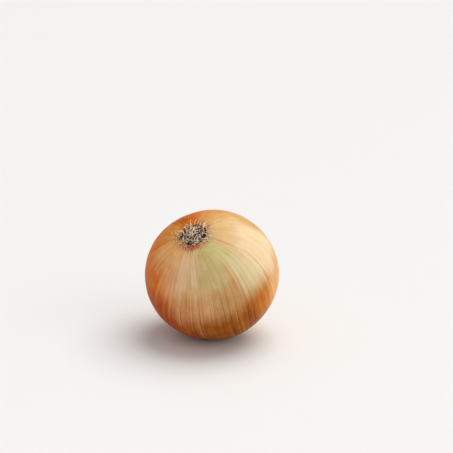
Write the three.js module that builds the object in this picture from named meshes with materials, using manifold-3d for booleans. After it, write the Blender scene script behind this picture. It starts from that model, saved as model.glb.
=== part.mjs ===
// A yellow globe onion at rest on a table. It lies on its shoulder with its root end raised to
// the front, so the dry neck is folded back under it and lies along the table behind.
// Three pieces: the bulb in its skin, the withered neck, and the root plate with its rootlets.
// Millimetres, +Z up, the origin on the table under the middle of the onion.
//
// Each piece is first made upright on its own growth axis, +Y, with the roots at -Y and the neck
// at +Y, and the group that holds them is then turned into the resting pose.
import * as THREE from "three";
import { mergeVertices } from "three/addons/utils/BufferGeometryUtils.js";
import Module from "manifold-3d";

const wasm = await Module();
wasm.setup();

const { cos, exp, max, min, PI, pow, sin, sqrt } = Math;
const { clamp, degToRad, lerp, smoothstep } = THREE.MathUtils;

// Driving dimensions.
const EQUATOR_RADIUS = 40;
const ROOT_HALF = 36.7; // from the equator to the root pole
const NECK_HALF = 36.2; // from the equator to where the shoulders would close with no neck
const ROOT_RISE = degToRad(57); // the root end points this far above the table
const FLAT_DEPTH = 0.6; // how far the skin is pressed flat where it rests
const JOIN_GAP = 0.3; // clearance between pieces that meet

// The bulb's surface.
const ROOT_FULLNESS = 0.9; // under 1, an end is blunter than an ellipse
const NECK_FULLNESS = 0.97;
const LOBES = [
  // [lobes round the bulb, height as a share of the radius, phase]
  [1, 0.006, 0.4],
  [2, 0.012, 0.2],
  [3, 0.006, 2.6],
  [5, 0.0035, 4.4],
];
const RIBS = 26; // main veins that stand up a little under the skin
const RIB_HEIGHT = 0.16; // on the equator
const PLEAT_HEIGHT = 0.42; // near the poles, where the skin is gathered
const GATHER = [9, 24]; // radii between which the pleats sink to ribs
const RIB_SWELL = 0.35; // how unlike one another the ribs are
const AXIS_FADE = [3, 8]; // radii between which the relief begins
const BULB_SEGMENTS = 4 * RIBS;
const BULB_ROWS = 31;

// The collar, where the skin is gathered round the neck, and the socket that the neck stands in.
const COLLAR_RADIUS = 6.9;
const COLLAR_FLARE = 4.2; // how far the skin sweeps up to the neck
const FLARE_WIDTH = 3.6;
const SOCKET_RADIUS = 5.6;
const SOCKET_DEPTH = 3.6;
const OVAL_WIDE = 1.13; // the collar and neck are pressed oval by the fold
const OVAL_THIN = 0.84;
const OVAL_LENGTH = 6; // the length over which they turn oval

// The fold, towards +Z.
const FOLD_START = 33.1;
const FOLD_RADIUS = 11;
const FOLD = degToRad(53);
const LEAN_START = 36.5; // the sections lean over a little after the fold begins
const LEAN_END = 47.5;

// The neck.
const NECK_END = 51.5;
const NECK_TIP_RADIUS = 6.2;
const NECK_TIP_THIN = 0.52; // the tip's thickness over its width
const NECK_WAIST = 0.12; // how far the neck is drawn in between its ends
const NECK_PLEATS = 13;
const NECK_SEGMENTS = 4 * NECK_PLEATS;
const NECK_PLEAT_HEIGHT = 0.42;
const NECK_RAGGEDNESS = 1.5; // how unevenly its sheaths are torn off
const SHEATHS = 3;

// The root end.
const PLATE_RADIUS = 7.3;
const PLATE_SET_BACK = 0.6; // the plate's edge lies this far inside the root pole
const PLATE_DOME = 0.9;
const PLATE_SEGMENTS = 40;
const DOME_ROWS = 5;
const RECESS_DEPTH = 1.3;
const RIM_HEIGHT = 0.55; // the skin's torn edge stands up round the root plate
const RIM_WIDTH = 1.5;
const RIM_TEETH = 0.5;

// The rootlets.
const ROOTLETS = 68;
const ROOTLET_SPREAD = 0.95; // share of the plate's radius that they grow on
const ROOTLET_WIDTH = 0.86;
const ROOTLET_SIDES = 3;
const ROOTLET_SUNK = 0.9; // how far a rootlet's foot is sunk in the plate
const ROOTLET_STEM = [0.6, 1.9]; // how far a rootlet rises before it curls over
const STEM_LEAN = 0.3;
const CURL_STEPS = 3;
const CURL_STEP = [0.9, 1.5]; // the length of each step of the curl
const CURL_TURN = [25, 85]; // degrees that it turns at each step
const CURL_RISE = 0.5; // how far a step may rise or sink
const EDGE_REACH = 1.2; // how much longer the steps are at the plate's edge
const EDGE_WANDER = 0.6; // how far from straight outwards they lean there, in radians
const GOLDEN_ANGLE = PI * (3 - sqrt(5));

const SAME_POINT = 1e-3;
const COLOURS = { skin: 0xd9964a, neck: 0xb59a63, root: 0x8c6a4a };

// A seeded random number generator, from 0 to 1.
function seededRandom(seed) {
  let state = seed;
  return () => {
    state = (state + 0x6d2b79f5) | 0;
    let t = Math.imul(state ^ (state >>> 15), 1 | state);
    t = (t + Math.imul(t ^ (t >>> 7), 61 | t)) ^ t;
    return ((t ^ (t >>> 14)) >>> 0) / 4294967296;
  };
}

// A closed geometry as a manifold-3d solid.
function solidOf(geometry) {
  const bare = new THREE.BufferGeometry();
  bare.setAttribute("position", geometry.getAttribute("position"));
  bare.setIndex(geometry.index);
  const merged = mergeVertices(bare, SAME_POINT / 10);
  const corners = [];
  for (let i = 0; i < merged.index.count; i += 3) {
    const [a, b, c] = [0, 1, 2].map((k) => merged.index.getX(i + k));
    if (a !== b && b !== c && c !== a) corners.push(a, b, c);
  }
  return new wasm.Manifold(
    new wasm.Mesh({
      numProp: 3,
      vertProperties: merged.getAttribute("position").array,
      triVerts: new Uint32Array(corners),
    }),
  );
}

function geometryOf(solid) {
  const { vertProperties, triVerts } = solid.getMesh();
  const geometry = new THREE.BufferGeometry();
  geometry.setAttribute("position", new THREE.BufferAttribute(vertProperties, 3));
  geometry.setIndex(new THREE.BufferAttribute(triVerts, 1));
  geometry.computeVertexNormals();
  return geometry;
}

function lathe(profile, segments) {
  return new THREE.LatheGeometry(
    profile.map(([radius, along]) => new THREE.Vector2(radius, along)),
    segments,
  );
}

// Moves every vertex of a lathed geometry by a rule. The rule is given the point to move, its
// place in the profile and its segment round the axis.
function reshape(geometry, profileLength, segments, rule) {
  const position = geometry.getAttribute("position");
  const point = new THREE.Vector3();
  for (let i = 0; i < position.count; i++) {
    const segment = Math.floor(i / profileLength) % segments;
    rule(point.fromBufferAttribute(position, i), i % profileLength, segment);
    position.setXYZ(i, point.x, point.y, point.z);
  }
}

// The bulb's profile at an angle from the root pole, as [radius, place along the growth axis].
function bulbProfile(angle) {
  const onRootHalf = angle < PI / 2;
  const fullness = onRootHalf ? ROOT_FULLNESS : NECK_FULLNESS;
  const radius = EQUATOR_RADIUS * pow(max(sin(angle), 0), fullness);
  if (onRootHalf) return [radius, -ROOT_HALF * cos(angle)];
  const flare = COLLAR_FLARE * exp((COLLAR_RADIUS - radius) / FLARE_WIDTH);
  return [radius, -NECK_HALF * cos(angle) + flare];
}

// The angle from the nearer pole at which the profile has a given radius.
function angleAt(radius, fullness) {
  return Math.asin(pow(radius / EQUATOR_RADIUS, 1 / fullness));
}

// How far the skin stands out at an angle round the axis. Ribs turn to pleats near the poles.
function relief(turn, radius) {
  const lobes = LOBES.reduce(
    (sum, [count, height, phase]) => sum + height * cos(count * turn + phase),
    0,
  );
  const gathered = 1 - smoothstep(radius, ...GATHER);
  const height = lerp(RIB_HEIGHT, PLEAT_HEIGHT, gathered);
  const swell = 1 - RIB_SWELL + RIB_SWELL * cos(3 * turn + 1) * cos(5 * turn);
  return smoothstep(radius, ...AXIS_FADE) * (radius * lobes + height * swell * cos(RIBS * turn));
}

// Presses the collar and neck oval, and folds them over towards +Z.
function foldOver(point) {
  const along = point.y;
  const oval = smoothstep(along, FOLD_START, FOLD_START + OVAL_LENGTH);
  const wide = point.x * lerp(1, OVAL_WIDE, oval);
  const thin = point.z * lerp(1, OVAL_THIN, oval);
  const turn = clamp((along - FOLD_START) / FOLD_RADIUS, 0, FOLD);
  const straight = max(0, along - FOLD_START - FOLD * FOLD_RADIUS);
  const lean = FOLD * smoothstep(along, LEAN_START, LEAN_END);
  const rise = FOLD_RADIUS * sin(turn) + straight * cos(FOLD);
  const aside = FOLD_RADIUS * (1 - cos(turn)) + straight * sin(FOLD);
  point.set(
    wide,
    min(along, FOLD_START) + rise - thin * sin(lean),
    aside + thin * cos(lean),
  );
}

const rootEdge = angleAt(PLATE_RADIUS + JOIN_GAP, ROOT_FULLNESS);
const recessFloor = bulbProfile(rootEdge)[1] + RECESS_DEPTH;
const collarEdge = PI - angleAt(COLLAR_RADIUS, NECK_FULLNESS);
const collarTop = bulbProfile(collarEdge)[1];

// The bulb: a lathed skin with lobes, ribs and pleats, a dished root end and a neck socket.
function makeBulb() {
  const recess = [[0, recessFloor], [PLATE_RADIUS + JOIN_GAP, recessFloor]];
  const skin = [];
  for (let row = 0; row <= BULB_ROWS; row++)
    skin.push(bulbProfile(lerp(rootEdge, collarEdge, row / BULB_ROWS)));
  const socket = [
    [SOCKET_RADIUS + JOIN_GAP, collarTop],
    [SOCKET_RADIUS + JOIN_GAP, collarTop - SOCKET_DEPTH],
    [0, collarTop - SOCKET_DEPTH],
  ];
  const profile = [...recess, ...skin, ...socket];
  const geometry = lathe(profile, BULB_SEGMENTS);
  const random = seededRandom(11);
  const teeth = Array.from({ length: BULB_SEGMENTS }, () => random() - 0.5);
  reshape(geometry, profile.length, BULB_SEGMENTS, (point, place, segment) => {
    const onSkin = place >= recess.length && place < recess.length + skin.length;
    if (onSkin) {
      const radius = profile[place][0];
      if (point.y < 0) {
        const edge = exp(-pow((radius - PLATE_RADIUS) / RIM_WIDTH, 2));
        point.y -= edge * (RIM_HEIGHT + RIM_TEETH * teeth[segment]);
      }
      const outwards = 1 + relief(Math.atan2(point.z, point.x), radius) / radius;
      const atRecess = radius < PLATE_RADIUS + JOIN_GAP + SAME_POINT;
      if (!atRecess) point.set(point.x * outwards, point.y, point.z * outwards);
    }
    foldOver(point);
  });
  return solidOf(geometry);
}

// The neck: a pleated stump of dry leaf sheaths, one inside another, with ragged ends.
function makeNeck() {
  const foot = collarTop - SOCKET_DEPTH + JOIN_GAP;
  const between = (share) => lerp(collarTop, NECK_END, share);
  // [share of the neck's radius, place along the axis, share of the raggedness, which sheath]
  const rings = [
    [0, foot, 0, 0],
    [1, foot, 0, 0],
    [1, between(0), 0, 0],
    [1, between(0.16), 0, 0],
    [1, between(0.35), 0, 0],
    [1, between(0.55), 0, 0],
    [1, between(0.75), 0.2, 0],
    [0.98, NECK_END - 0.4, 1, 0],
    [0.86, NECK_END - 0.7, 1, 0],
    [0.8, NECK_END - 3.2, 0.2, 0],
    [0.7, NECK_END - 3.4, 0.2, 1],
    [0.66, NECK_END - 0.2, 1, 1],
    [0.54, NECK_END - 0.5, 1, 1],
    [0.46, NECK_END - 3, 0.2, 1],
    [0.38, NECK_END - 3, 0.2, 2],
    [0.34, NECK_END + 0.2, 1, 2],
    [0.16, NECK_END - 0.4, 0.8, 2],
    [0, NECK_END - 1.2, 0, 2],
  ];
  const random = seededRandom(5);
  const teeth = Array.from({ length: SHEATHS }, () =>
    Array.from({ length: NECK_SEGMENTS }, () => random() - 0.5),
  );
  const geometry = lathe(rings, NECK_SEGMENTS);
  reshape(geometry, rings.length, NECK_SEGMENTS, (point, place, segment) => {
    const [share, along, ragged, sheath] = rings[place];
    const turn = Math.atan2(point.z, point.x);
    const up = clamp((along - collarTop) / (NECK_END - collarTop), 0, 1);
    const width = lerp(SOCKET_RADIUS, NECK_TIP_RADIUS, up) * (1 - NECK_WAIST * sin(PI * up));
    const pleat = NECK_PLEAT_HEIGHT * smoothstep(up, 0, 0.15) * (0.6 + 0.4 * cos(2 * turn));
    const radius = share * (width + pleat * cos(NECK_PLEATS * turn + sheath));
    const flatness = lerp(1, NECK_TIP_THIN / OVAL_THIN, up);
    point.x = radius * cos(turn);
    point.y = along + NECK_RAGGEDNESS * ragged * teeth[sheath][segment];
    point.z = radius * sin(turn) * flatness;
    foldOver(point);
  });
  return solidOf(geometry);
}

// The root plate's outer face, at a share of the plate's radius.
function plateFace(share) {
  return -ROOT_HALF + PLATE_SET_BACK - PLATE_DOME * (1 - share * share);
}

// The farthest in that a rootlet may lie over the skin or its torn edge, at a given radius.
function clearOfSkin(radius) {
  const [, skin] = bulbProfile(angleAt(max(radius, PLATE_RADIUS), ROOT_FULLNESS));
  return skin - RIM_HEIGHT - RIM_TEETH - JOIN_GAP - ROOTLET_WIDTH / 2;
}

// A rootlet's centreline: it rises from the plate and curls over sideways, clear of the skin.
// Those near the plate's edge lean outwards, and those in the middle lean any way.
function rootletPath(index, random) {
  const pick = ([low, high]) => lerp(low, high, random());
  const share = sqrt((index + 0.5) / ROOTLETS);
  const turn = index * GOLDEN_ANGLE;
  const start = ROOTLET_SPREAD * PLATE_RADIUS * share;
  const wander = lerp(PI, EDGE_WANDER, smoothstep(share, 0.3, 0.9));
  let heading = turn + wander * (2 * random() - 1);
  const curl = degToRad(pick(CURL_TURN)) * (random() < 0.5 ? -1 : 1);
  const reach = lerp(1, EDGE_REACH, smoothstep(share, 0.7, 0.95));
  const face = plateFace(ROOTLET_SPREAD * share);
  const here = new THREE.Vector3(start * cos(turn), face + ROOTLET_SUNK, start * sin(turn));
  const points = [here.clone()];
  here.x += STEM_LEAN * cos(heading);
  here.y = face - pick(ROOTLET_STEM) * (1 - share / 2);
  here.z += STEM_LEAN * sin(heading);
  points.push(here.clone());
  for (let step = 0; step < CURL_STEPS; step++) {
    const stride = pick(CURL_STEP) * reach;
    here.x += stride * cos(heading);
    here.y += CURL_RISE * (2 * random() - 1);
    here.z += stride * sin(heading);
    heading += curl;
    const radius = Math.hypot(here.x, here.z);
    const nearSkin = radius > PLATE_RADIUS - RIM_WIDTH;
    if (nearSkin) here.y = min(here.y, clearOfSkin(radius));
    points.push(here.clone());
  }
  return new THREE.CatmullRomCurve3(points);
}

// The root tuft: the domed basal plate with its rootlets joined on, set in a spiral.
function makeRootTuft() {
  const profile = [];
  for (let row = 0; row <= DOME_ROWS; row++) {
    const share = row / DOME_ROWS;
    profile.push([PLATE_RADIUS * share, plateFace(share)]);
  }
  const back = recessFloor - JOIN_GAP;
  profile.push([PLATE_RADIUS, back], [0, back]);
  const section = new THREE.Shape();
  for (let corner = 0; corner < ROOTLET_SIDES; corner++) {
    const angle = (corner * 2 * PI) / ROOTLET_SIDES;
    const [x, y] = [(ROOTLET_WIDTH / 2) * cos(angle), (ROOTLET_WIDTH / 2) * sin(angle)];
    if (corner === 0) section.moveTo(x, y);
    else section.lineTo(x, y);
  }
  const random = seededRandom(24);
  let tuft = solidOf(lathe(profile, PLATE_SEGMENTS));
  for (let index = 0; index < ROOTLETS; index++) {
    const rootlet = new THREE.ExtrudeGeometry(section, {
      steps: CURL_STEPS + 1,
      bevelEnabled: false,
      extrudePath: rootletPath(index, random),
    });
    tuft = tuft.add(solidOf(rootlet));
  }
  return tuft;
}

function meshOf(name, solid, colour, roughness) {
  const material = new THREE.MeshStandardMaterial({ color: colour, roughness, metalness: 0 });
  const mesh = new THREE.Mesh(geometryOf(solid), material);
  mesh.name = name;
  return mesh;
}

const lying = new THREE.Group();
lying.rotation.x = -ROOT_RISE;
lying.updateMatrix();

// The table presses a small flat on the bulb's shoulder.
const roundBulb = makeBulb();
const turnedBulb = geometryOf(roundBulb).applyMatrix4(lying.matrix);
turnedBulb.computeBoundingBox();
const tableTop = turnedBulb.boundingBox.min.z + FLAT_DEPTH;
const tableSize = 4 * EQUATOR_RADIUS;
const table = new THREE.BoxGeometry(tableSize, tableSize, tableSize)
  .translate(0, 0, tableTop - tableSize / 2)
  .applyMatrix4(lying.matrix.clone().invert());

lying.add(
  meshOf("bulb", roundBulb.subtract(solidOf(table)), COLOURS.skin, 0.4),
  meshOf("neck", makeNeck(), COLOURS.neck, 0.85),
  meshOf("root_tuft", makeRootTuft(), COLOURS.root, 0.95),
);

// The origin is on the table, under the middle of the onion.
const middle = new THREE.Box3().setFromObject(lying, true).getCenter(new THREE.Vector3());
lying.position.set(-middle.x, -middle.y, -tableTop);

const onion = new THREE.Group();
onion.add(lying);
export default onion;
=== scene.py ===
"""A yellow globe onion in its dry skin, lying on a pale floor with its root end raised.

Shapes are worked out in millimetres about the bulb's own growth axis, +Y, with the roots at -Y
and the neck at +Y, and are then laid down and turned to metres in one step.
"""

import math
import random

import bmesh
import bpy
from mathutils import Matrix, Vector


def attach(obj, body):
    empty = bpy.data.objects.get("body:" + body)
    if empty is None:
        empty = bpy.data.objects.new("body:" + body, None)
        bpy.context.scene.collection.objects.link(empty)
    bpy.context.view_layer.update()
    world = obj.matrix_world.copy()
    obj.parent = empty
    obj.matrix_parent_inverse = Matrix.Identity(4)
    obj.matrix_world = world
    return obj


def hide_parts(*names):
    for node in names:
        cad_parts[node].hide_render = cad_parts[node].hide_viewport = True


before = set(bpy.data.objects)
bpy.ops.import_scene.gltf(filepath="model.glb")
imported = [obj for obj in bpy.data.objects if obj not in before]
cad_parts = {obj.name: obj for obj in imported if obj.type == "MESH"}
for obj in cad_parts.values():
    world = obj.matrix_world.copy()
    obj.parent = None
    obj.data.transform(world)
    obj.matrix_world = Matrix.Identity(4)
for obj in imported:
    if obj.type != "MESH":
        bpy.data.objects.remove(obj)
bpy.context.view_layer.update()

# ---------------------------------------------------------------- the onion's measures, in mm

EQUATOR_RADIUS = 40.0
ROOT_HALF = 36.7  # from the equator to the root pole
NECK_HALF = 36.2  # from the equator to where the shoulders would close with no neck
ROOT_RISE = math.radians(57)  # the root end points this far above the floor
BULB_CENTRE = Vector((0.0276, 0.1522, 36.8024))  # the solids' own, as they rest
INSIDE = 0.9985  # the skin is drawn in by a hair, to stay inside the solid's box
ROOT_FULLNESS = 0.9  # under 1, an end is blunter than an ellipse
NECK_FULLNESS = 0.97
# Each lobe: how many round the bulb, height as a share of the radius, and phase.
LOBES = ((1, 0.006, 0.4), (2, 0.012, 0.2), (3, 0.006, 2.6), (5, 0.0035, 4.4))
RIBS = 26
RIB_HEIGHT = 0.05
RIB_SWELL = 0.35  # how unlike one another the ribs are
ROOT_PLEAT_HEIGHT = 0.1
NECK_PLEAT_HEIGHT = 0.36
FINE_PLEATS = 73
FINE_PLEAT_HEIGHT = 0.09
FINE_ON_BELLY = 0.2  # share of that height
FINE_BY_ROOTS = 0.35
GATHER = (9.0, 24.0)  # radii between which the pleats sink to ribs
AXIS_FADE = (3.0, 8.0)  # radii between which the relief begins
FIBRE_TWIST = math.radians(9)  # how far round the bulb the skin's fibres lean
TWIST_SPAN = (0.17, 0.58)  # stages of growth between which they do so

COLLAR_RADIUS = 6.9
COLLAR_FLARE = 4.2  # how far the skin sweeps up to the neck
FLARE_WIDTH = 3.6
SOCKET_RADIUS = 5.9
SOCKET_DEPTH = 3.6
OVAL_WIDE = 1.13  # the collar and neck are pressed oval by the fold
OVAL_THIN = 0.84
OVAL_LENGTH = 6.0
FOLD_START = 33.1  # how far along the axis the neck begins to fold over
FOLD_RADIUS = 11.0
FOLD = math.radians(53)
LEAN_START = 36.5  # the sections lean over a little after the fold begins
LEAN_END = 47.5

NECK_END = 51.5
NECK_RADIUS = 5.6
NECK_TIP_RADIUS = 6.2
NECK_TIP_THIN = 0.52
NECK_WAIST = 0.12  # how far the neck is drawn in between its ends
NECK_TWIST = 0.2  # how far its pleats turn on the way to its end, in radians
NECK_PLEATS = 13
STUMP_PLEAT_HEIGHT = 0.42
WRINKLES = 41
WRINKLE_HEIGHT = 0.12

PLATE_RADIUS = 7.3
RECESS_RADIUS = 7.6
PLATE_SET_BACK = 0.6  # the plate's edge lies this far inside the root pole
PLATE_DOME = 0.9
RECESS_DEPTH = 1.3
CLEARANCE = 0.3  # between a piece's foot and the floor of what it stands in
GOLDEN_ANGLE = math.pi * (3 - math.sqrt(5))
SAME_POINT = 1e-4

LYING = (
    Matrix.Translation(BULB_CENTRE / 1000)
    @ Matrix.Rotation(-ROOT_RISE, 4, "X")
    @ Matrix.Scale(INSIDE / 1000, 4)
)


# ---------------------------------------------------------------- formulas for the shape


def blend(a, b, share):
    return a + (b - a) * share


def ease(value, low, high):
    """Nought below low, one above high, and smooth between."""
    share = min(max((value - low) / (high - low), 0.0), 1.0)
    return share * share * (3 - 2 * share)


def bulb_profile(angle):
    """Radius and place along the growth axis, at an angle from the root pole."""
    on_root_half = angle < math.pi / 2
    fullness = ROOT_FULLNESS if on_root_half else NECK_FULLNESS
    radius = EQUATOR_RADIUS * max(math.sin(angle), 0.0) ** fullness
    if on_root_half:
        return radius, -ROOT_HALF * math.cos(angle)
    flare = COLLAR_FLARE * math.exp((COLLAR_RADIUS - radius) / FLARE_WIDTH)
    return radius, -NECK_HALF * math.cos(angle) + flare


def angle_at(radius, fullness):
    return math.asin((radius / EQUATOR_RADIUS) ** (1 / fullness))


def relief(turn, radius, on_neck_half):
    """How far the skin stands out: low lobes, ribs, and pleats where it is gathered."""
    lobes = sum(h * math.cos(n * turn + phase) for n, h, phase in LOBES)
    gather = 1 - ease(radius, *GATHER)
    pleats = NECK_PLEAT_HEIGHT if on_neck_half else ROOT_PLEAT_HEIGHT
    swell = 1 - RIB_SWELL + RIB_SWELL * math.cos(3 * turn + 1) * math.cos(5 * turn)
    ribs = blend(RIB_HEIGHT, pleats, gather) * swell * math.cos(RIBS * turn)
    wander = 0.7 * math.sin(3 * turn + 2) + 0.5 * math.sin(7 * turn)
    fine = FINE_PLEAT_HEIGHT * blend(FINE_ON_BELLY, 1.0 if on_neck_half else FINE_BY_ROOTS, gather)
    ribs += fine * math.cos(FINE_PLEATS * turn + wander) * (0.6 + 0.4 * math.sin(4 * turn))
    return ease(radius, *AXIS_FADE) * (radius * lobes + ribs)


def fold_over(point):
    """Presses the collar and neck oval, and folds them over."""
    along = point.y
    oval = ease(along, FOLD_START, FOLD_START + OVAL_LENGTH)
    wide = point.x * blend(1, OVAL_WIDE, oval)
    thin = point.z * blend(1, OVAL_THIN, oval)
    turn = min(max((along - FOLD_START) / FOLD_RADIUS, 0), FOLD)
    straight = max(0, along - FOLD_START - FOLD * FOLD_RADIUS)
    lean = FOLD * ease(along, LEAN_START, LEAN_END)
    rise = FOLD_RADIUS * math.sin(turn) + straight * math.cos(FOLD)
    aside = FOLD_RADIUS * (1 - math.cos(turn)) + straight * math.sin(FOLD)
    start = min(along, FOLD_START)
    return Vector((wide, start + rise - thin * math.sin(lean), aside + thin * math.cos(lean)))


def plate_face(share):
    return -ROOT_HALF + PLATE_SET_BACK - PLATE_DOME * (1 - share * share)


def skin_at(radius):
    """Place of the skin along the growth axis, on the root half."""
    return bulb_profile(angle_at(max(radius, PLATE_RADIUS), ROOT_FULLNESS))[1]


ROOT_EDGE = angle_at(RECESS_RADIUS, ROOT_FULLNESS)
RECESS_FLOOR = bulb_profile(ROOT_EDGE)[1] + RECESS_DEPTH
COLLAR_EDGE = math.pi - angle_at(COLLAR_RADIUS, NECK_FULLNESS)
COLLAR_TOP = bulb_profile(COLLAR_EDGE)[1]


# ---------------------------------------------------------------- making pieces


def spun(profile, steps):
    """Spins (radius, along, stage) rows about the growth axis. Poles and seam are closed.

    Each vertex keeps its row's stage, from 0 at the root to 1 at the neck."""
    bm = bmesh.new()
    stage = bm.verts.layers.float.new("stage")
    row = []
    for radius, along, mark in profile:
        vert = bm.verts.new((radius, along, 0))
        vert[stage] = mark
        row.append(vert)
    edges = [bm.edges.new(pair) for pair in zip(row, row[1:])]
    bmesh.ops.spin(
        bm,
        geom=row + edges,
        cent=(0, 0, 0),
        axis=(0, 1, 0),
        angle=math.tau,
        steps=steps,
        use_merge=True,
    )
    bmesh.ops.remove_doubles(bm, verts=bm.verts, dist=SAME_POINT)
    bmesh.ops.recalc_face_normals(bm, faces=bm.faces)
    return bm


def mark_growth(bm, name="growth", twist=0.0):
    """Keeps each vertex's direction round the axis and its stage, for the patterns.

    A twist turns the direction farther round, the nearer the vertex is to the neck."""
    stage = bm.verts.layers.float["stage"]
    growth = bm.verts.layers.float_vector.new(name)
    for vert in bm.verts:
        if math.hypot(vert.co.x, vert.co.z) < SAME_POINT:
            vert[growth] = (0, 0, vert[stage])
            continue
        turn = math.atan2(vert.co.z, vert.co.x) + twist * ease(vert[stage], *TWIST_SPAN)
        vert[growth] = (math.cos(turn), math.sin(turn), vert[stage])


def strand(points, widths, tone, sides=5):
    """A strand, grown ring by ring along its points, with a width at each, as a mesh."""
    bm = bmesh.new()
    tones = bm.verts.layers.float.new("tone")
    tips = bm.verts.layers.float.new("tip")
    heading = (points[1] - points[0]).normalized()
    facing = Vector((0, 0, 1)).rotation_difference(heading).to_matrix().to_4x4()
    ring = bmesh.ops.create_circle(
        bm,
        cap_ends=True,
        radius=widths[0] / 2,
        segments=sides,
        matrix=Matrix.Translation(points[0]) @ facing,
    )["verts"]
    for vert in ring:
        vert[tones] = tone
    face = bm.faces[:][0]
    for k in range(1, len(points)):
        face = bmesh.ops.extrude_discrete_faces(bm, faces=[face])["faces"][0]
        ahead = points[min(k + 1, len(points) - 1)] - points[k - 1]
        turn = heading.rotation_difference(ahead.normalized())
        verts = list(face.verts)
        bmesh.ops.translate(bm, verts=verts, vec=points[k] - points[k - 1])
        bmesh.ops.rotate(bm, verts=verts, cent=points[k], matrix=turn.to_matrix())
        thinner = widths[k] / widths[k - 1]
        middle = Matrix.Translation(-points[k])
        bmesh.ops.scale(bm, verts=verts, vec=(thinner,) * 3, space=middle)
        heading = ahead.normalized()
        for vert in verts:
            vert[tones] = tone
            vert[tips] = k / (len(points) - 1)
    bmesh.ops.recalc_face_normals(bm, faces=bm.faces)
    made = bpy.data.meshes.new("strand")
    bm.to_mesh(made)
    bm.free()
    return made


def gathered(strands):
    """All the strands as one bmesh."""
    bm = bmesh.new()
    for mesh in strands:
        bm.from_mesh(mesh)
        bpy.data.meshes.remove(mesh)
    return bm


def finished(name, bm, material, replaces=None):
    """Lays the shape down, keeps it above the floor and makes it a piece of the onion."""
    bmesh.ops.transform(bm, matrix=LYING, verts=bm.verts)
    for vert in bm.verts:
        vert.co.z = max(vert.co.z, 0.0)
    for face in bm.faces:
        face.smooth = True
    mesh = bpy.data.meshes.new(name)
    bm.to_mesh(mesh)
    bm.free()
    mesh.materials.append(material)
    piece = bpy.data.objects.new(name, mesh)
    bpy.context.scene.collection.objects.link(piece)
    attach(piece, "root")
    if replaces:
        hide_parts(replaces)
    return piece


# ---------------------------------------------------------------- writing materials


def colour(red, green, blue):
    """A colour from its screen values, 0 to 255."""
    linear = []
    for part in (red, green, blue):
        part /= 255
        low = part / 12.92
        high = ((part + 0.055) / 1.055) ** 2.4
        linear.append(low if part <= 0.04045 else high)
    return (*linear, 1.0)


def place(tree, kind, inputs=None, **settings):
    """Adds a node. An input is a number, a colour or another node's output."""
    node = tree.nodes.new(kind)
    for name, value in settings.items():
        setattr(node, name, value)
    for name, value in (inputs or {}).items():
        socket = node.inputs[name]
        if isinstance(value, bpy.types.NodeSocket):
            tree.links.new(value, socket)
        else:
            socket.default_value = value
    return node


def maths(tree, operation, *values):
    return place(tree, "ShaderNodeMath", dict(enumerate(values)), operation=operation).outputs[0]


def between(tree, value, low, high, to_low=0.0, to_high=1.0, smooth=True):
    """Maps a value from one range to another, clamped."""
    inputs = {"Value": value, "From Min": low, "From Max": high}
    inputs.update({"To Min": to_low, "To Max": to_high})
    kind = "SMOOTHSTEP" if smooth else "LINEAR"
    return place(tree, "ShaderNodeMapRange", inputs, interpolation_type=kind).outputs[0]


def mixed(tree, share, first, second):
    """The first colour, with a share of the second."""
    inputs = {0: share, 6: first, 7: second}
    return place(tree, "ShaderNodeMix", inputs, data_type="RGBA").outputs[2]


def stage_of(tree, growth):
    """How far along its growth the skin is, from 0 at the roots to 1 at the neck."""
    return place(tree, "ShaderNodeSeparateXYZ", {0: growth}).outputs[2]


def noise(tree, where, scale, detail):
    inputs = {"Vector": where, "Scale": scale, "Detail": detail}
    return place(tree, "ShaderNodeTexNoise", inputs).outputs[0]


def raised(tree, shader, height, strength, distance):
    """Stands the surface up by a height, in its light and shade alone."""
    inputs = {"Height": height, "Strength": strength, "Distance": distance}
    tree.links.new(place(tree, "ShaderNodeBump", inputs).outputs[0], shader.inputs["Normal"])


def new_group(name, inputs, outputs):
    """A node group with named inputs, each with its usual value, and named outputs."""
    group = bpy.data.node_groups.new(name, "ShaderNodeTree")
    for label, (kind, usual) in inputs.items():
        socket = group.interface.new_socket(label, in_out="INPUT", socket_type=kind)
        if usual is not None:
            socket.default_value = usual
    for label, kind in outputs.items():
        group.interface.new_socket(label, in_out="OUTPUT", socket_type=kind)
    return group, group.nodes.new("NodeGroupInput").outputs, group.nodes.new("NodeGroupOutput").inputs


NUMBER = "NodeSocketFloat"
DIRECTION = "NodeSocketVector"


def streaks_group():
    """Streaks that run from the roots to the neck. Around and Along are how many there are."""
    inputs = {
        "Growth": (DIRECTION, None),
        "Around": (NUMBER, 12.0),
        "Along": (NUMBER, 3.0),
        "Shift": (NUMBER, 0.0),
        "Detail": (NUMBER, 2.0),
    }
    tree, given, result = new_group("growth streaks", inputs, {"Streak": NUMBER})
    parts = place(tree, "ShaderNodeSeparateXYZ", {0: given["Growth"]}).outputs
    across = maths(tree, "DIVIDE", given["Around"], math.tau)
    x = maths(tree, "MULTIPLY_ADD", parts[0], across, given["Shift"])
    y = maths(tree, "MULTIPLY_ADD", parts[1], across, given["Shift"])
    z = maths(tree, "MULTIPLY", parts[2], given["Along"])
    where = place(tree, "ShaderNodeCombineXYZ", {0: x, 1: y, 2: z}).outputs[0]
    inputs = {"Vector": where, "Scale": 1.0, "Detail": given["Detail"], "Roughness": 0.55}
    pattern = place(tree, "ShaderNodeTexNoise", inputs).outputs[0]
    tree.links.new(between(tree, pattern, 0.25, 0.75, smooth=False), result["Streak"])
    return tree


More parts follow.
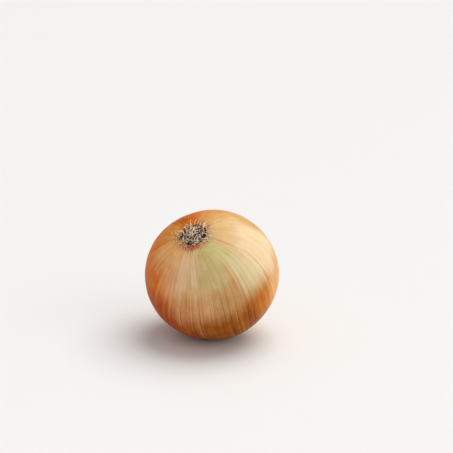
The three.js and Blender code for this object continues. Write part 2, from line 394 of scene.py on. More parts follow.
def veins_group(streaks):
    """Fine veins down the skin, which wander a little and fade in and out."""
    inputs = {
        "Growth": (DIRECTION, None),
        "Veins": (NUMBER, 96.0),
        "Width": (NUMBER, 0.16),
        "Wander": (NUMBER, 0.9),
        "Fading": (NUMBER, 0.5),
    }
    tree, given, result = new_group("skin veins", inputs, {"Vein": NUMBER})
    parts = place(tree, "ShaderNodeSeparateXYZ", {0: given["Growth"]}).outputs
    turn = maths(tree, "ARCTAN2", parts[1], parts[0])
    turns = maths(tree, "DIVIDE", turn, math.tau)

    def streak(around, along, shift):
        inputs = {"Growth": given["Growth"], "Around": around, "Along": along, "Shift": shift}
        return place(tree, "ShaderNodeGroup", inputs, node_tree=streaks).outputs[0]

    wander = maths(tree, "MULTIPLY", streak(22.0, 0.9, 3.0), given["Wander"])
    count = maths(tree, "MULTIPLY_ADD", turns, given["Veins"], wander)
    off_line = maths(tree, "ABSOLUTE", maths(tree, "SUBTRACT", maths(tree, "FRACT", count), 0.5))
    line = between(tree, off_line, 0.0, given["Width"], 1.0, 0.0)
    limit = maths(tree, "ADD", given["Fading"], 0.3)
    strength = between(tree, streak(170.0, 4.0, 9.0), given["Fading"], limit)
    tree.links.new(maths(tree, "MULTIPLY", line, strength), result["Vein"])
    return tree


def patch_group():
    """A patch of the skin round a direction and between two stages of growth, all in degrees.

    Its sides and ends are drawn out raggedly, by the swings times the feather."""
    inputs = {
        "Growth": (DIRECTION, None),
        "Towards": (DIRECTION, (1.0, 0.0, 0.0)),
        "Half Width": (NUMBER, 30.0),
        "Side Fade": (NUMBER, 10.0),
        "Start": (NUMBER, 10.0),
        "End": (NUMBER, 90.0),
        "End Fade": (NUMBER, 10.0),
        "Feather": (NUMBER, 14.0),
        "Side Swing": (NUMBER, 0.0),
        "End Swing": (NUMBER, 0.0),
    }
    tree, given, result = new_group("skin patch", inputs, {"Mask": NUMBER})
    growth = given["Growth"]
    stage = maths(tree, "MULTIPLY", stage_of(tree, growth), 180.0)
    level = place(tree, "ShaderNodeVectorMath", {0: growth, 1: (1, 1, 0)}, operation="MULTIPLY")
    level = place(tree, "ShaderNodeVectorMath", {0: level.outputs[0]}, operation="NORMALIZE")
    inputs = {0: level.outputs[0], 1: given["Towards"]}
    facing = place(tree, "ShaderNodeVectorMath", inputs, operation="DOT_PRODUCT").outputs["Value"]
    facing = maths(tree, "MINIMUM", maths(tree, "MAXIMUM", facing, -1.0), 1.0)
    off = maths(tree, "DEGREES", maths(tree, "ARCCOSINE", facing))
    off = maths(tree, "MULTIPLY_ADD", given["Side Swing"], given["Feather"], off)
    stage = maths(tree, "MULTIPLY_ADD", given["End Swing"], given["Feather"], stage)
    side = maths(tree, "ADD", given["Half Width"], given["Side Fade"])
    side_low = maths(tree, "SUBTRACT", given["Half Width"], given["Side Fade"])
    inside = between(tree, off, side_low, side, 1.0, 0.0)
    start_low = maths(tree, "SUBTRACT", given["Start"], given["End Fade"])
    start_high = maths(tree, "ADD", given["Start"], given["End Fade"])
    begun = between(tree, stage, start_low, start_high)
    end_low = maths(tree, "SUBTRACT", given["End"], given["End Fade"])
    end_high = maths(tree, "ADD", given["End"], given["End Fade"])
    ended = between(tree, stage, end_low, end_high, 1.0, 0.0)
    mask = maths(tree, "MULTIPLY", inside, maths(tree, "MULTIPLY", begun, ended))
    tree.links.new(mask, result["Mask"])
    return tree


STREAKS = streaks_group()
VEINS = veins_group(STREAKS)
PATCH = patch_group()


def new_material(name):
    material = bpy.data.materials.new(name)
    material.use_nodes = True
    tree = material.node_tree
    shader = tree.nodes["Principled BSDF"]
    return material, tree, shader


def attribute(tree, name):
    return place(tree, "ShaderNodeAttribute", attribute_name=name).outputs


def streak(tree, growth, around, along, shift=0.0, detail=2.0):
    inputs = {"Growth": growth, "Around": around, "Along": along, "Shift": shift, "Detail": detail}
    return place(tree, "ShaderNodeGroup", inputs, node_tree=STREAKS).outputs[0]


def veins(tree, growth, count, width, fading):
    inputs = {"Growth": growth, "Veins": count, "Width": width, "Fading": fading}
    return place(tree, "ShaderNodeGroup", inputs, node_tree=VEINS).outputs[0]


SLOW_SWING = 0.6  # how far a patch's side waves
FIBRE_SWING = 1.8  # how far it is drawn out fibre by fibre
END_SWING = 1.4  # how far a patch's ends are drawn out along the fibres


def swings(tree, growth):
    """How far a patch's sides and ends swing, for each degree of its feather."""
    slow = maths(tree, "SUBTRACT", streak(tree, growth, around=9.0, along=5.0, shift=1.3), 0.5)
    fibres = maths(tree, "SUBTRACT", streak(tree, growth, around=120.0, along=1.0, shift=4.4), 0.5)
    side = maths(tree, "MULTIPLY_ADD", fibres, FIBRE_SWING, maths(tree, "MULTIPLY", slow, SLOW_SWING))
    ends = maths(tree, "SUBTRACT", streak(tree, growth, around=170.0, along=1.5, shift=2.6), 0.5)
    return side, maths(tree, "MULTIPLY", ends, END_SWING)


def patch(tree, growth, swung, degrees, half_width, side_fade, start, end, end_fade, feather):
    turn = math.radians(degrees)
    inputs = {
        "Growth": growth,
        "Towards": (math.cos(turn), math.sin(turn), 0),
        "Half Width": half_width,
        "Side Fade": side_fade,
        "Start": start,
        "End": end,
        "End Fade": end_fade,
        "Feather": feather,
        "Side Swing": swung[0],
        "End Swing": swung[1],
    }
    return place(tree, "ShaderNodeGroup", inputs, node_tree=PATCH).outputs[0]


# Where the skin's colour changes, and where painted shade and painted bounce light lie on it: name,
# colour and strength, then in degrees the direction about the axis, half width and side fade,
# the first and last angle from the root, end fade and feather.
# Later ones lie over earlier ones.
SKIN_PATCHES = (
    # The russet side is the skin's orange, made brighter and richer as painted bounce light on its
    # shaded side.
    ("russet side with painted bounce light", (219, 115, 22), 1.0, (-146, 53, 10), (30, 112, 12), 10),
    ("peach by the roots", (231, 171, 112), 1.0, (-119, 34, 12), (7, 41, 14), 10),
    ("peach edge", (236, 158, 102), 0.8, (-103, 13, 9), (34, 64, 14), 10),
    ("red under side", (180, 80, 14), 1.0, (-120, 42, 14), (66, 170, 12), 10),
    ("cream front", (230, 187, 140), 1.0, (-71, 28, 16), (12, 60, 14), 9),
    ("tan front", (208, 149, 98), 1.0, (-69, 28, 14), (60, 86, 12), 6),
    ("olive front", (203, 178, 126), 1.0, (-45, 20, 12), (12, 56, 14), 8),
    ("tan middle", (190, 144, 92), 1.0, (-37, 18, 10), (58, 82, 12), 5),
    # The belly is the skin's brown, darkened as painted shade under the bulb.
    ("belly", (151, 81, 18), 1.0, (-43, 35, 15), (80.5, 170, 11), 4),
    ("bronze patch", (194, 117, 36), 1.0, (-11, 12, 9), (79, 170, 10), 6),
    ("pale fan", (218, 198, 152), 1.0, (-9, 14, 7), (28, 73, 11), 8),
    ("green fan", (200, 186, 127), 1.0, (-20, 22, 9), (7, 36, 11), 8),
    ("peach shoulder", (219, 177, 120), 1.0, (41, 44, 5), (7, 48, 10), 8),
    ("cream shoulder", (230, 203, 162), 1.0, (26, 24, 9), (34, 83, 12), 8),
    ("peach side", (212, 149, 82), 1.0, (95, 21, 18), (8, 120, 14), 8),
    ("peach flank", (208, 160, 100), 1.0, (63, 18, 11), (46, 120, 10), 8),
    ("orange flank", (232, 173, 112), 1.0, (26, 30, 8), (85, 130, 8), 6),
    # The two crown patches are the skin's orange, darkened as painted shade over the top of the bulb.
    ("orange crown in painted shade", (204, 104, 16), 1.0, (128, 22, 24), (1, 100, 16), 9),
    ("deep crown in painted shade", (178, 82, 6), 1.0, (142, 10, 10), (12, 60, 12), 8),
    ("olive crown", (205, 136, 50), 1.0, (169, 14, 10), (7, 30, 8), 8),
    # This patch darkens the skin beside the root tuft as painted shade.
    ("painted shade by the roots", (196, 126, 70), 0.6, (88, 28, 14), (7, 16, 6), 5),
    ("red fringe", (190, 88, 58), 0.9, (-70, 26, 9), (3, 12.6, 2.6), 4),
    ("green fringe", (206, 200, 132), 0.5, (-25, 62, 12), (13.5, 17, 3), 3),
    # A brown line along a fold in the skin, partly the skin's colour and partly the fold's painted
    # shade.
    ("fold line with painted shade", (160, 98, 56), 0.55, (4.6, 0.9, 0.8), (8, 34, 12), 6),
    ("straw by the neck", (212, 194, 138), 0.85, (90, 180, 1), (152, 190, 8), 10),
)
SLEEK_SHOULDER = (27, 66, 14, 6, 116, 14, 8)  # where the skin is sleekest, as in a patch's row


def deepened(tree, tint, amount):
    """The same colour, darker and richer where the amount is high and paler where it is below 0."""
    return place(tree, "ShaderNodeGamma", {0: tint, 1: maths(tree, "ADD", amount, 1.0)}).outputs[0]


def skin_material():
    material, tree, shader = new_material("dry onion skin")
    growth = attribute(tree, "growth")["Vector"]
    fibre = attribute(tree, "fibre")["Vector"]
    paper = place(tree, "ShaderNodeTexCoord").outputs["Object"]
    stage = stage_of(tree, growth)
    broad = streak(tree, fibre, around=14.0, along=1.2, shift=1.7)
    middling = streak(tree, fibre, around=48.0, along=1.8, shift=5.1)
    fine = streak(tree, fibre, around=150.0, along=3.0, shift=8.3)
    blotches = streak(tree, fibre, around=34.0, along=18.0, shift=6.6, detail=3.0)
    lines = veins(tree, fibre, count=66.0, width=0.075, fading=0.28)
    mottle = noise(tree, paper, scale=190.0, detail=4.0)

    # The colours: a plain orange skin, with the patches over it; a few of them are painted shade and
    # one is partly painted bounce light.
    tint = mixed(tree, broad, colour(190, 112, 50), colour(216, 152, 84))
    swung = swings(tree, fibre)
    for name, shade, strength, across, along, feather in SKIN_PATCHES:
        mask = patch(tree, growth, swung, *across, *along, feather)
        tint = mixed(tree, maths(tree, "MULTIPLY", mask, strength), tint, colour(*shade))
        tree.nodes[-1].label = name

    # Streaks, mottling and veins make it darker or paler from fibre to fibre. The veins are
    # strongest past the root half, and the sleek shoulder has less of everything.
    depth = between(tree, mottle, 0.35, 0.65, -0.08, 0.08)
    depth = maths(tree, "ADD", depth, between(tree, middling, 0.1, 0.9, 0.09, -0.1, smooth=False))
    depth = maths(tree, "ADD", depth, between(tree, fine, 0.1, 0.9, 0.18, -0.2, smooth=False))
    depth = maths(tree, "ADD", depth, between(tree, blotches, 0.58, 0.9, -0.01, 0.15))
    sleek = patch(tree, growth, swung, *SLEEK_SHOULDER)
    strength = between(tree, stage, 0.22, 0.46, 0.15, 1.1)
    strength = maths(tree, "MULTIPLY", strength, between(tree, sleek, 0.0, 1.0, 1.0, 0.65))
    depth = maths(tree, "MULTIPLY_ADD", lines, strength, depth)
    depth = maths(tree, "MULTIPLY", depth, between(tree, sleek, 0.0, 1.0, 0.86, 0.58))
    tint = deepened(tree, tint, depth)

    # Red veins run a little way out from the roots.
    near_root = between(tree, stage, 0.055, 0.11, 1.0, 0.0)
    reds = veins(tree, fibre, count=58.0, width=0.3, fading=0.2)
    tint = mixed(tree, maths(tree, "MULTIPLY", reds, near_root), tint, colour(158, 62, 36))
    tree.links.new(tint, shader.inputs["Base Color"])
    gloss = between(tree, middling, 0.0, 1.0, 0.36, 0.5)
    tree.links.new(gloss, shader.inputs["Roughness"])

    # The grain of the paper, with the finer fibres and the veins raised in it.
    grain = noise(tree, paper, scale=900.0, detail=3.0)
    height = maths(tree, "MULTIPLY_ADD", grain, 0.25, maths(tree, "MULTIPLY", fine, 0.5))
    height = maths(tree, "MULTIPLY_ADD", lines, 0.4, height)
    raised(tree, shader, height, strength=0.35, distance=0.0001)
    shader.inputs["IOR"].default_value = 1.4
    shader.inputs["Specular IOR Level"].default_value = 0.08
    return material


def neck_material():
    material, tree, shader = new_material("withered neck")
    growth = attribute(tree, "growth")["Vector"]
    fine = streak(tree, growth, around=90.0, along=1.0, shift=2.0, detail=3.0)
    lines = veins(tree, growth, count=54.0, width=0.22, fading=0.35)
    tint = mixed(tree, fine, colour(168, 150, 96), colour(214, 196, 142))
    tint = mixed(tree, maths(tree, "MULTIPLY", lines, 0.6), tint, colour(112, 84, 46))
    torn_end = between(tree, stage_of(tree, growth), 0.88, 1.0, 0.0, 0.75)
    tint = mixed(tree, torn_end, tint, colour(122, 82, 46))
    tree.links.new(tint, shader.inputs["Base Color"])
    raised(tree, shader, fine, strength=0.5, distance=0.0002)
    shader.inputs["Roughness"].default_value = 0.7
    return material


def strand_material(name, dark, light, pale):
    """Dry root and fibre: each strand has its own tone and is pale at its tip; towards its foot it is
    darkened with painted shade.
    """
    material, tree, shader = new_material(name)
    tone = attribute(tree, "tone")["Fac"]
    tip = attribute(tree, "tip")["Fac"]
    paper = place(tree, "ShaderNodeTexCoord").outputs["Object"]
    mottle = noise(tree, paper, scale=1500.0, detail=2.0)
    tint = mixed(tree, tone, colour(*dark), colour(*light))
    tint = mixed(tree, maths(tree, "MULTIPLY", tip, mottle), tint, colour(*pale))
    # Painted shade: each strand darkens towards its foot, where it leaves the surface it grows from.
    tint = mixed(tree, between(tree, tip, 0.0, 0.25, 0.8, 0.0), tint, colour(58, 34, 18))
    tree.links.new(tint, shader.inputs["Base Color"])
    raised(tree, shader, mottle, strength=0.5, distance=0.0001)
    shader.inputs["Roughness"].default_value = 0.75
    return material


def plate_material():
    material, tree, shader = new_material("root plate")
    paper = place(tree, "ShaderNodeTexCoord").outputs["Object"]
    crust = noise(tree, paper, scale=1100.0, detail=5.0)
    # The plate is near-black brown, partly its own colour and partly painted shade in the gaps
    # between the rootlets.
    tint = mixed(tree, crust, colour(34, 17, 9), colour(78, 46, 28))
    tree.links.new(tint, shader.inputs["Base Color"])
    raised(tree, shader, crust, strength=0.8, distance=0.0004)
    shader.inputs["Roughness"].default_value = 0.9
    return material


def floor_material():
    material, _, shader = new_material("pale floor")
    shader.inputs["Base Color"].default_value = (0.8, 0.79, 0.78, 1.0)
    shader.inputs["Roughness"].default_value = 0.6
    return material


# ---------------------------------------------------------------- the bulb's skin

SKIN_STEPS = 480
SKIN_ROWS = 150
RIM_ROWS = 10
RIM_BAND = 3.0  # how far out from the recess the finer rows reach
RIM_HEIGHT = 0.35  # the skin's torn edge stands up round the root plate
RIM_WIDTH = 1.5
RIM_TEETH = 0.55
TOOTH_STEPS = 3
RIM_SEED = 3
CUFF_LENGTH = 4.6  # how far the skin runs up on to the neck, thin and torn at its end
CUFF_ROWS = 12
CUFF_LIP = 0.4  # how far short of its end the cuff turns inwards
CUFF_OUTSIDE = 1.06  # the cuff's sides, as shares of the neck's radius
CUFF_INSIDE = 1.01
CUFF_TEARS = 16
CUFF_RAGGEDNESS = 3.0
EDGE_PLACES = 360  # a torn edge has a depth at each degree about the axis
TEAR_HALF_WIDTHS = (4, 26)  # in degrees
TEAR_DEPTHS = (0.15, 1)  # as shares of the deepest
FRAY = 0.35


def tooth_at(teeth, turn):
    """The height of an edge's teeth at an angle about the axis."""
    place_round = (turn / math.tau % 1) * len(teeth)
    low = int(place_round) % len(teeth)
    return blend(teeth[low], teeth[(low + 1) % len(teeth)], place_round % 1)


def torn_edge(chance, tears, deepest):
    """How far a torn papery edge falls short, place by place about the axis."""
    short = [0.0] * EDGE_PLACES
    half_round = EDGE_PLACES / 2
    for _ in range(tears):
        middle = chance.uniform(0, EDGE_PLACES)
        half_width = chance.uniform(*TEAR_HALF_WIDTHS)
        depth = deepest * chance.uniform(*TEAR_DEPTHS) ** 1.5
        for degree in range(EDGE_PLACES):
            off = abs((degree - middle + half_round) % EDGE_PLACES - half_round) / half_width
            short[degree] = max(short[degree], depth * (1 - off))
    return [depth + FRAY * chance.random() for depth in short]


def make_skin():
    rows = [(0, RECESS_FLOOR, 0), (RECESS_RADIUS, RECESS_FLOOR, 0)]
    edge = angle_at(RECESS_RADIUS + RIM_BAND, ROOT_FULLNESS)
    angles = [blend(ROOT_EDGE, edge, k / RIM_ROWS) for k in range(RIM_ROWS)]
    angles += [blend(edge, COLLAR_EDGE, k / SKIN_ROWS) for k in range(SKIN_ROWS + 1)]
    rows += [(*bulb_profile(angle), angle / math.pi) for angle in angles]
    for k in range(1, CUFF_ROWS + 1):
        rows.append((COLLAR_RADIUS, COLLAR_TOP + k * CUFF_LENGTH / CUFF_ROWS, 1 + k))
    rows.append((SOCKET_RADIUS, COLLAR_TOP + CUFF_LENGTH - CUFF_LIP, CUFF_ROWS + 2))
    socket_floor = COLLAR_TOP - SOCKET_DEPTH
    rows += [(SOCKET_RADIUS, socket_floor, CUFF_ROWS + 3), (0, socket_floor, CUFF_ROWS + 3)]
    bm = spun(rows, SKIN_STEPS)
    stage = bm.verts.layers.float["stage"]
    chance = random.Random(RIM_SEED)
    rim = [chance.random() ** 2 for _ in range(SKIN_STEPS // TOOTH_STEPS)]
    tears = torn_edge(chance, CUFF_TEARS, CUFF_RAGGEDNESS)
    for vert in bm.verts:
        radius = math.hypot(vert.co.x, vert.co.z)
        turn = math.atan2(vert.co.z, vert.co.x)
        if 0 < vert[stage] <= 1:
            lift = math.exp(-(((radius - RECESS_RADIUS) / RIM_WIDTH) ** 2))
            if vert.co.y < 0:
                vert.co.y -= lift * (RIM_HEIGHT + RIM_TEETH * tooth_at(rim, turn))
            if radius > RECESS_RADIUS + SAME_POINT or vert.co.y > 0:
                outwards = 1 + relief(turn, radius, vert.co.y > 0) / radius
                vert.co.x *= outwards
                vert.co.z *= outwards
        elif 1 < vert[stage] < CUFF_ROWS + 3:
            up = min((vert[stage] - 1) / CUFF_ROWS, 1)
            along = vert.co.y - up * up * tooth_at(tears, turn)
            share = CUFF_INSIDE if vert[stage] > CUFF_ROWS + 1 else CUFF_OUTSIDE
            snug = neck_point(share, turn, along)
            gathered_in = COLLAR_RADIUS + relief(turn, COLLAR_RADIUS, True)
            loose = Vector((gathered_in * math.cos(turn), along, gathered_in * math.sin(turn)))
            vert.co = loose.lerp(snug, ease(up, 0, 0.75))
        vert[stage] = min(vert[stage], 1)
    mark_growth(bm)
    mark_growth(bm, "fibre", FIBRE_TWIST)
    for vert in bm.verts:
        vert.co = fold_over(vert.co)
    return finished("onion_skin", bm, skin_material(), "bulb")


# ---------------------------------------------------------------- the neck

# Each sheath: share of the neck's radius, how far it reaches past the neck's end, how deep its tears.
SHEATHS = (
    (1.0, -2.2, 3.2),
    (0.87, -0.6, 3.6),
    (0.74, -0.2, 2.6),
    (0.61, -1.0, 2.4),
    (0.47, 0.1, 2.4),
    (0.33, -0.5, 2.0),
    (0.18, 0.2, 1.6),
)
SHEATH_STEPS = 156
SHEATH_ROWS = 30
INNER_ROWS = 14
INNER_START = 42.0  # the sheaths inside the first are hidden below this
SHEATH_THICKNESS = 0.26
SHEATH_SHIFT = 0.04  # how far each sheath's pleats are turned from the last one's, in radians
SHEATH_TEARS = 9
SHEATH_SEED = 40


def neck_point(share, turn, along, shift=0.0):
    """A point of the neck before it is folded: oval, waisted and drawn into pleats as it dried."""
    up = min(max((along - COLLAR_TOP) / (NECK_END - COLLAR_TOP), 0), 1)
    width = blend(NECK_RADIUS, NECK_TIP_RADIUS, up) * (1 - NECK_WAIST * math.sin(math.pi * up))
    twisted = turn + NECK_TWIST * up + shift
    deep = STUMP_PLEAT_HEIGHT * ease(up, 0, 0.15) * (0.6 + 0.4 * math.cos(2 * turn))
    pleat = deep * math.cos(NECK_PLEATS * twisted)
    fine = WRINKLE_HEIGHT * ease(up, 0, 0.2)
    wrinkle = fine * math.cos(WRINKLES * twisted + 2 * math.sin(3 * turn))
    radius = share * (width + pleat) + wrinkle
    flat = blend(1, NECK_TIP_THIN / OVAL_THIN, up)
    return Vector((radius * math.cos(turn), along, radius * math.sin(turn) * flat))


def make_neck():
    whole = bmesh.new()
    for number, (share, reach, deepest) in enumerate(SHEATHS):
        foot = INNER_START if number else COLLAR_TOP - SOCKET_DEPTH + CLEARANCE
        steps = INNER_ROWS if number else SHEATH_ROWS
        rows = [(share * NECK_RADIUS, k / steps, k / steps) for k in range(steps + 1)]
        bm = spun(rows, SHEATH_STEPS)
        mark_growth(bm)
        stage = bm.verts.layers.float["stage"]
        edge = torn_edge(random.Random(SHEATH_SEED + number), SHEATH_TEARS, deepest)
        for vert in bm.verts:
            turn = math.atan2(vert.co.z, vert.co.x)
            end = NECK_END + reach - tooth_at(edge, turn)
            along = blend(foot, end, vert[stage])
            vert.co = fold_over(neck_point(share, turn, along, SHEATH_SHIFT * number))
        bmesh.ops.recalc_face_normals(bm, faces=bm.faces)
        bmesh.ops.solidify(bm, geom=bm.faces, thickness=SHEATH_THICKNESS)
        bmesh.ops.recalc_face_normals(bm, faces=bm.faces)
        mesh = bpy.data.meshes.new("sheath")
        bm.to_mesh(mesh)
        bm.free()
        whole.from_mesh(mesh)
        bpy.data.meshes.remove(mesh)
    return finished("neck_sheaths", whole, neck_material(), "neck")


NECK_FIBRES = 46
FIBRE_SHARES = (0.97, 0.76, 0.52, 0.28)  # of the neck's radius
FIBRE_SETBACK = (2, 5)  # how far below the neck's end they start
FIBRE_LENGTH = (1.6, 3.2)
FIBRE_REACH = 0.8  # how far past the neck's end they may stand
FIBRE_DRIFT = 0.3  # how far they wander round the neck, in radians
FIBRE_LIFT = 0.05
FIBRE_WIDTHS = (0.3, 0.26, 0.22, 0.16, 0.06)
FIBRE_SEED = 77
FIBRE_TONES = ((120, 92, 56), (196, 178, 128), (226, 214, 178))


def make_neck_fibres():
    chance = random.Random(FIBRE_SEED)
    strands = []
    last = len(FIBRE_WIDTHS) - 1
    for _ in range(NECK_FIBRES):
        share = chance.choice(FIBRE_SHARES)
        turn = chance.uniform(0, math.tau)
        start = NECK_END - chance.uniform(*FIBRE_SETBACK)
        length = chance.uniform(*FIBRE_LENGTH)
        drift = chance.uniform(-FIBRE_DRIFT, FIBRE_DRIFT)
        points = []
        for k in range(last + 1):
            along = min(start + length * k / last, NECK_END + FIBRE_REACH)
            spot = neck_point(share, turn + drift * k / last, along)
            points.append(fold_over(spot) + Vector((0, 0, FIBRE_LIFT * k)))
        strands.append(strand(points, FIBRE_WIDTHS, chance.random()))
    fibre = strand_material("neck fibre", *FIBRE_TONES)
    return finished("neck_fibres", gathered(strands), fibre)


# ---------------------------------------------------------------- the root end

PLATE_ROWS = 14
PLATE_STEPS = 96
PLATE_LUMPS = 0.12

STEM_LEAN = 0.25  # how far sideways a rootlet goes as it rises
CURL_SWAY = 0.6  # how unevenly it curls
CURL_RISE = (-0.3, 0.34)  # how far each step of the curl may rise or sink
OVER_SKIN = 1.2  # within this of the plate's edge and past it, a rootlet keeps clear of the skin

ROOTLET_SPREAD = 0.97  # share of the plate's radius that the rootlets stand on
ROOTLET_SUNK = 0.5
ROOTLET_JITTER = 0.2
ROOTLET_STRIDE = (0.7, 1.0)  # the length of each step of a rootlet's curl
ROOTLET_CURL = (2, 28)  # degrees that it turns at each step
ROOTLET_TAPER = 0.6
ROOTLET_CLEAR = 0.7
ROOTLET_PALENESS = 0.7  # under 1, more of them are pale than dark
EDGE_SPAN = (0.55, 0.95)  # shares of the plate's radius between which its edge begins
EDGE_WANDER = 2.3  # how far the edge's rootlets stray from straight back over the plate, in radians
EDGE_DROOP = 0.4  # how much less they rise
BARE_SIDE = math.radians(15)  # fewer rootlets are left on this side of the plate

FRIZZ_START = (6.9, 8.1)  # radii at which the frizz begins
FRIZZ_SUNK = 0.2
FRIZZ_STEPS = (4, 5, 6)
FRIZZ_STRIDE = (0.4, 0.75)
FRIZZ_STEM = (0.3, 0.7)
FRIZZ_WIDTH = (0.26, 0.4)
FRIZZ_TAPER = 0.45
FRIZZ_FACETS = 4
FRIZZ_CLEAR = 0.4

# Tones of the darkest strand, of the palest, and of their tips.
# The mat's dark browns are partly the roots' own colour and partly painted shade: a dark lower layer
# that deepens the gaps under the pale rootlets.
MAT_TONES = ((48, 22, 10), (108, 60, 34), (130, 80, 50))
ROOTLET_TONES = ((196, 154, 124), (248, 226, 200), (252, 240, 218))
FRINGE_TONES = ((150, 58, 40), (222, 136, 104), (226, 160, 120))
FRIZZ_TONES = ((206, 176, 120), (248, 234, 188), (252, 244, 212))

# The frizz and the red fringe on each side: how many, direction about the axis and spread in
# degrees, how far out they may start, how far they stray from straight outwards in radians, and
# how much they curl at each step in degrees.
FRIZZ_SIDES = (
    (18, -150, 18, 6.5, 0.8, (4, 32)),
    (34, 12, 30, 3.0, 0.7, (4, 34)),
    (22, 132, 40, 0.5, 0.4, (0, 12)),
    (8, -112, 12, 1.2, 0.6, (4, 30)),
)
FRINGE_SIDES = ((26, -72, 22, 0.8, 0.35, (0, 16)),)


def make_root_plate():
    shares = [k / PLATE_ROWS for k in range(PLATE_ROWS + 1)]
    rows = [(PLATE_RADIUS * share, plate_face(share), share) for share in shares]
    foot = RECESS_FLOOR - CLEARANCE
    rows += [(PLATE_RADIUS, foot, 1), (0, foot, 1)]
    bm = spun(rows, PLATE_STEPS)
    for vert in bm.verts:
        if vert.co.y < foot - SAME_POINT:
            turn = math.atan2(vert.co.z, vert.co.x)
            radius = math.hypot(vert.co.x, vert.co.z)
            lumps = math.sin(9 * turn + radius) * math.sin(2.3 * radius)
            lumps += math.sin(5 * turn - 3 * radius)
            vert.co.y += PLATE_LUMPS * lumps * ease(PLATE_RADIUS - radius, 0, 1)
    return finished("root_plate", bm, plate_material(), "root_tuft")


def tapered(width, taper, count):
    """Widths along a strand, from its foot to a share of that at its tip."""
    return [width * blend(1, taper, k / (count - 1)) for k in range(count)]


def curl(chance, start, heading, stem, steps, stride, turn_by, clear):
    """Points of a rootlet: up from the plate, then curling over sideways, clear of the skin."""
    here = Vector(start)
    points = [here.copy()]
    here += Vector((STEM_LEAN * math.cos(heading), -stem, STEM_LEAN * math.sin(heading)))
    points.append(here.copy())
    sway = chance.uniform(-CURL_SWAY, CURL_SWAY)
    for k in range(steps):
        here += Vector((stride * math.cos(heading), 0, stride * math.sin(heading)))
        here.y += chance.uniform(*CURL_RISE)
        heading += turn_by * (1 + sway * math.sin(1.5 * k))
        radius = math.hypot(here.x, here.z)
        if radius > PLATE_RADIUS - OVER_SKIN:
            here.y = min(here.y, skin_at(radius) - clear)
        points.append(here.copy())
    return points


def make_rootlets(name, count, seed, bareness, lift, steps_range, width_range, tones):
    """Rootlets set in a spiral over the plate, most of those at its edge heading back over it.

    Bareness is the share that is missing from the barest side."""
    chance = random.Random(seed)
    strands = []
    for number in range(count):
        share = math.sqrt((number + 0.5) / count)
        turn = number * GOLDEN_ANGLE + chance.uniform(-ROOTLET_JITTER, ROOTLET_JITTER)
        if chance.random() < bareness * (0.5 + 0.5 * math.cos(turn - BARE_SIDE)):
            continue
        start = ROOTLET_SPREAD * PLATE_RADIUS * share
        face = plate_face(ROOTLET_SPREAD * share)
        foot = (start * math.cos(turn), face + ROOTLET_SUNK, start * math.sin(turn))
        wander = blend(math.pi, EDGE_WANDER, ease(share, *EDGE_SPAN))
        heading = turn + math.pi + wander * chance.uniform(-1, 1)
        stem = ROOTLET_SUNK + chance.uniform(*lift) * (1 - EDGE_DROOP * share)
        steps = chance.choice(steps_range)
        stride = chance.uniform(*ROOTLET_STRIDE)
        turn_by = math.radians(chance.uniform(*ROOTLET_CURL)) * chance.choice((-1, 1))
        points = curl(chance, foot, heading, stem, steps, stride, turn_by, ROOTLET_CLEAR)
        widths = tapered(chance.uniform(*width_range), ROOTLET_TAPER, len(points))
        strands.append(strand(points, widths, chance.random() ** ROOTLET_PALENESS))
    return finished(name, gathered(strands), strand_material(name, *tones))


def make_frizz(name, sides, seed, tones):
    """Finer rootlets that lie out over the skin on some sides, each as its own row says."""
    chance = random.Random(seed)
    strands = []
    for count, side, spread, reach, scatter, curling in sides:
        for _ in range(count):
            turn = math.radians(chance.gauss(side, spread))
            start = chance.uniform(*FRIZZ_START) + chance.random() ** 2 * reach
            foot = (start * math.cos(turn), skin_at(start) + FRIZZ_SUNK, start * math.sin(turn))
            heading = turn + chance.uniform(-scatter, scatter)
            steps = chance.choice(FRIZZ_STEPS)
            stride = chance.uniform(*FRIZZ_STRIDE)
            turn_by = math.radians(chance.uniform(*curling)) * chance.choice((-1, 1))
            stem = chance.uniform(*FRIZZ_STEM)
            points = curl(chance, foot, heading, stem, steps, stride, turn_by, FRIZZ_CLEAR)
            widths = tapered(chance.uniform(*FRIZZ_WIDTH), FRIZZ_TAPER, len(points))
            strands.append(strand(points, widths, chance.random(), FRIZZ_FACETS))
    return finished(name, gathered(strands), strand_material(name, *tones))


make_skin()
make_neck()
make_neck_fibres()
make_root_plate()
# A dark lower layer of rootlets, partly painted shade in the gaps between the pale ones.
make_rootlets(
    "root_mat",
    count=90,
    seed=7,
    bareness=0.0,
    lift=(0.1, 0.8),
    steps_range=(5, 6),
    width_range=(0.35, 0.6),
    tones=MAT_TONES,
)
make_rootlets(
    "rootlets",
    count=88,
    seed=19,
    bareness=0.45,
    lift=(0.3, 1.9),
    steps_range=(4, 5, 6, 7),
    width_range=(0.36, 0.54),
    tones=ROOTLET_TONES,
)
make_frizz("root_frizz", FRIZZ_SIDES, seed=53, tones=FRIZZ_TONES)
make_frizz("red_fringe", FRINGE_SIDES, seed=61, tones=FRINGE_TONES)

# ---------------------------------------------------------------- floor, light and camera

# Distances here are in metres, and the lens and sensor in millimetres.
FLOOR_RADIUS = 8.0
CAMERA_AZIMUTH = math.radians(30.2)
CAMERA_ELEVATION = math.radians(18)
CAMERA_DISTANCE = 0.75103
CAMERA_LENS = 100
CAMERA_SENSOR = 36
CAMERA_ASIDE = 0.00878  # the frame's middle is this far from the bulb's, to the right and up
CAMERA_ABOVE = 0.02882
WORLD_LIGHT = 0.5
SEEN_WORLD = 0.92  # as pale as the floor, so that low views have no grey wall
# Each light: name, the direction that it comes from, its strength and its width in degrees.
SOFTBOXES = (
    ("overhead softbox", (0.15, 0.4, 0.9), 2.0, 50),
    ("right softbox", (0.95, 0.0, 0.4), 0.8, 60),
)


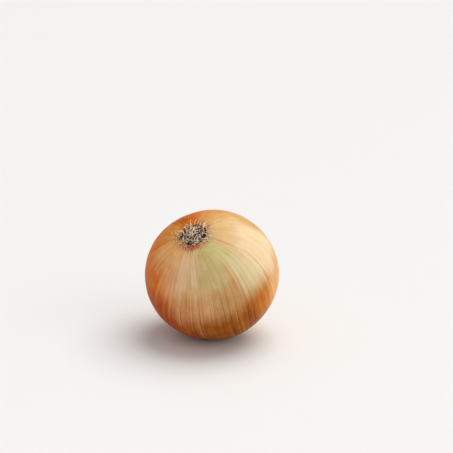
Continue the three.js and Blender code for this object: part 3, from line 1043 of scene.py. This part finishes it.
def make_floor():
    bm = bmesh.new()
    bmesh.ops.create_circle(bm, cap_ends=True, radius=FLOOR_RADIUS, segments=96)
    mesh = bpy.data.meshes.new("floor")
    bm.to_mesh(mesh)
    bm.free()
    mesh.materials.append(floor_material())
    floor = bpy.data.objects.new("floor", mesh)
    bpy.context.scene.collection.objects.link(floor)


def soft_light(name, towards, strength, spread):
    """A broad even light from one direction."""
    light = bpy.data.lights.new(name, "SUN")
    light.energy = strength
    light.angle = math.radians(spread)
    lamp = bpy.data.objects.new(name, light)
    lamp.rotation_euler = Vector(towards).to_track_quat("Z", "Y").to_euler()
    bpy.context.scene.collection.objects.link(lamp)


def make_camera():
    right = Vector((math.cos(CAMERA_AZIMUTH), math.sin(CAMERA_AZIMUTH), 0))
    level = Vector((math.sin(CAMERA_AZIMUTH), -math.cos(CAMERA_AZIMUTH), 0))
    back = level * math.cos(CAMERA_ELEVATION) + Vector((0, 0, math.sin(CAMERA_ELEVATION)))
    up = back.cross(right)
    camera = bpy.data.objects.new("camera", bpy.data.cameras.new("camera"))
    camera.data.lens = CAMERA_LENS
    camera.data.sensor_width = CAMERA_SENSOR
    middle = BULB_CENTRE / 1000 + CAMERA_ASIDE * right + CAMERA_ABOVE * up
    camera.location = middle + CAMERA_DISTANCE * back
    camera.rotation_euler = back.to_track_quat("Z", "Y").to_euler()
    bpy.context.scene.collection.objects.link(camera)
    bpy.context.scene.camera = camera


def make_world():
    world = bpy.data.worlds.new("pale room")
    world.use_nodes = True
    background = world.node_tree.nodes["Background"]
    background.inputs["Color"].default_value = (1.0, 0.99, 0.97, 1.0)
    seen = place(world.node_tree, "ShaderNodeLightPath").outputs["Is Camera Ray"]
    strength = maths(world.node_tree, "MULTIPLY_ADD", seen, SEEN_WORLD - WORLD_LIGHT, WORLD_LIGHT)
    world.node_tree.links.new(strength, background.inputs["Strength"])
    bpy.context.scene.world = world


make_floor()
for softbox in SOFTBOXES:
    soft_light(*softbox)
make_camera()
make_world()
bpy.context.scene.view_settings.view_transform = "Standard"
